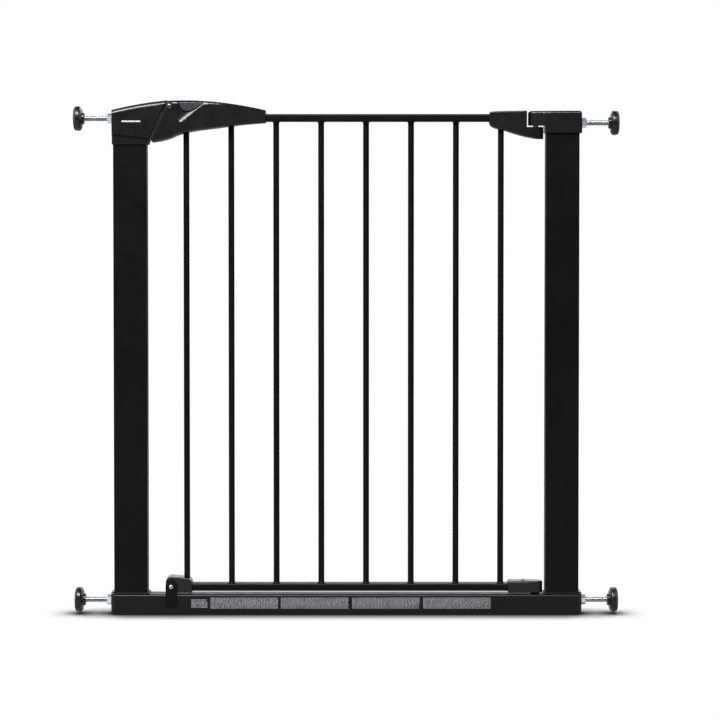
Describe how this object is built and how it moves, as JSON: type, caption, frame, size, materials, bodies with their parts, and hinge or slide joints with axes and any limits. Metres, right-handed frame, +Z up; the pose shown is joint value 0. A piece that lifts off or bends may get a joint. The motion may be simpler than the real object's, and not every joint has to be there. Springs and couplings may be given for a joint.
{
  "type": "pressure-fit safety gate",
  "caption": "Pressure-fit metal safety gate: a U-shaped frame, a barred swing door, a pinch latch and screw adjusters with wall pads.",
  "frame": {"origin": "middle of the base rail's underside, on the floor", "axes": "+X along the gate from the latch to the hinge, +Z up, -Y the front; the door opens towards +Y"},
  "size_m": [0.7964, 0.0392, 0.7529],
  "materials": {
    "powder_coat": "satin black powder coat with a very fine texture",
    "black_plastic": "satin moulded black plastic",
    "zinc_steel": "bright zinc plating with a faint blue tint",
    "rubber": "matt black rubber",
    "spring_steel": "plain spring steel"
  },
  "bodies": {
    "frame": {"base_rail": "powder_coat", "left_post": "powder_coat", "right_post": "powder_coat", "left_foot_plate": "powder_coat", "right_foot_plate": "powder_coat", "left_end_cap": "black_plastic", "right_end_cap": "black_plastic", "latch_housing_front": "black_plastic", "latch_housing_rear": "black_plastic", "latch_housing_screw": "zinc_steel", "hinge_cap": "black_plastic", "upper_hinge_pin": "zinc_steel", "lower_hinge_pin": "zinc_steel", "stop_bracket": "powder_coat", "stop_rivet": "zinc_steel", "stop_buffer": "rubber", "top_left_bush": "black_plastic", "top_right_bush": "black_plastic"},
    "door": {"top_rail": "powder_coat", "bottom_rail": "powder_coat", "bar_1": "powder_coat", "bar_2": "powder_coat", "bar_3": "powder_coat", "bar_4": "powder_coat", "bar_5": "powder_coat", "bar_6": "powder_coat", "bar_7": "powder_coat", "bar_8": "powder_coat", "hinge_arm": "black_plastic", "closing_spring": "spring_steel", "lower_hinge_shoe": "black_plastic", "shoe_screw": "zinc_steel", "latch_shoe": "black_plastic", "handle_front": "black_plastic", "handle_rear": "black_plastic", "handle_screw_1": "zinc_steel", "handle_screw_2": "zinc_steel", "handle_plug": "black_plastic", "bolt_spring": "spring_steel"},
    "front_button": {"front_button": "black_plastic"},
    "rear_button": {"rear_button": "black_plastic"},
    "latch_bolt": {"latch_bolt": "zinc_steel"},
    "top_left_nut": {"top_left_nut": "zinc_steel"},
    "top_left_spindle": {"top_left_spindle": "zinc_steel", "top_left_wall_pad": "black_plastic", "top_left_pad_face": "rubber"},
    "top_right_nut": {"top_right_nut": "zinc_steel"},
    "top_right_spindle": {"top_right_spindle": "zinc_steel", "top_right_wall_pad": "black_plastic", "top_right_pad_face": "rubber"},
    "bottom_left_nut": {"bottom_left_nut": "zinc_steel"},
    "bottom_left_spindle": {"bottom_left_spindle": "zinc_steel", "bottom_left_wall_pad": "black_plastic", "bottom_left_pad_face": "rubber"},
    "bottom_right_nut": {"bottom_right_nut": "zinc_steel"},
    "bottom_right_spindle": {"bottom_right_spindle": "zinc_steel", "bottom_right_wall_pad": "black_plastic", "bottom_right_pad_face": "rubber"}
  },
  "joints": [
    {"name": "door_swing", "type": "hinge", "parent": "frame", "child": "door", "pos_m": [0.277, 0, 0], "axis": [0, 0, -1], "range_deg": [0, 90], "stiffness_Nm_per_rad": 1.2, "springref_deg": -20.05},
    {"name": "front_button_press", "type": "slide", "parent": "door", "child": "front_button", "axis": [0, 1, 0], "range_m": [0, 0.0045]},
    {"name": "rear_button_press", "type": "slide", "parent": "door", "child": "rear_button", "axis": [0, -1, 0], "range_m": [0, 0.0046]},
    {"name": "latch_bolt_slide", "type": "slide", "parent": "door", "child": "latch_bolt", "axis": [1, 0, 0], "range_m": [0, 0.0091], "stiffness_N_per_m": 250, "springref_m": -0.005, "deforming": ["bolt_spring"]},
    {"name": "top_left_nut_turn", "type": "hinge", "parent": "frame", "child": "top_left_nut", "pos_m": [-0.3454, 0, 0.7268], "axis": [-1, 0, 0], "range_deg": [-3330, 5350]},
    {"name": "top_left_spindle_slide", "type": "slide", "parent": "frame", "child": "top_left_spindle", "axis": [-1, 0, 0], "range_m": [-0.0185, 0.0115]},
    {"name": "top_right_nut_turn", "type": "hinge", "parent": "frame", "child": "top_right_nut", "pos_m": [0.3471, 0, 0.7205], "axis": [1, 0, 0], "range_deg": [-3330, 5350]},
    {"name": "top_right_spindle_slide", "type": "slide", "parent": "frame", "child": "top_right_spindle", "axis": [1, 0, 0], "range_m": [-0.0185, 0.0115]},
    {"name": "bottom_left_nut_turn", "type": "hinge", "parent": "frame", "child": "bottom_left_nut", "pos_m": [-0.3479, 0, 0.0205], "axis": [-1, 0, 0], "range_deg": [-3330, 5350]},
    {"name": "bottom_left_spindle_slide", "type": "slide", "parent": "frame", "child": "bottom_left_spindle", "axis": [-1, 0, 0], "range_m": [-0.0185, 0.0115]},
    {"name": "bottom_right_nut_turn", "type": "hinge", "parent": "frame", "child": "bottom_right_nut", "pos_m": [0.3479, 0, 0.0205], "axis": [1, 0, 0], "range_deg": [-3330, 5350]},
    {"name": "bottom_right_spindle_slide", "type": "slide", "parent": "frame", "child": "bottom_right_spindle", "axis": [1, 0, 0], "range_m": [-0.0185, 0.0115]}
  ],
  "couplings": [
    {"joint": "rear_button_press", "follows": "front_button_press", "ratio": 1},
    {"joint": "latch_bolt_slide", "follows": "front_button_press", "ratio": 2},
    {"joint": "top_left_nut_turn", "follows": "top_left_spindle_slide", "rad_per_m": -5026.5},
    {"joint": "top_right_nut_turn", "follows": "top_right_spindle_slide", "rad_per_m": -5026.5},
    {"joint": "bottom_left_nut_turn", "follows": "bottom_left_spindle_slide", "rad_per_m": -5026.5},
    {"joint": "bottom_right_nut_turn", "follows": "bottom_right_spindle_slide", "rad_per_m": -5026.5}
  ]
}
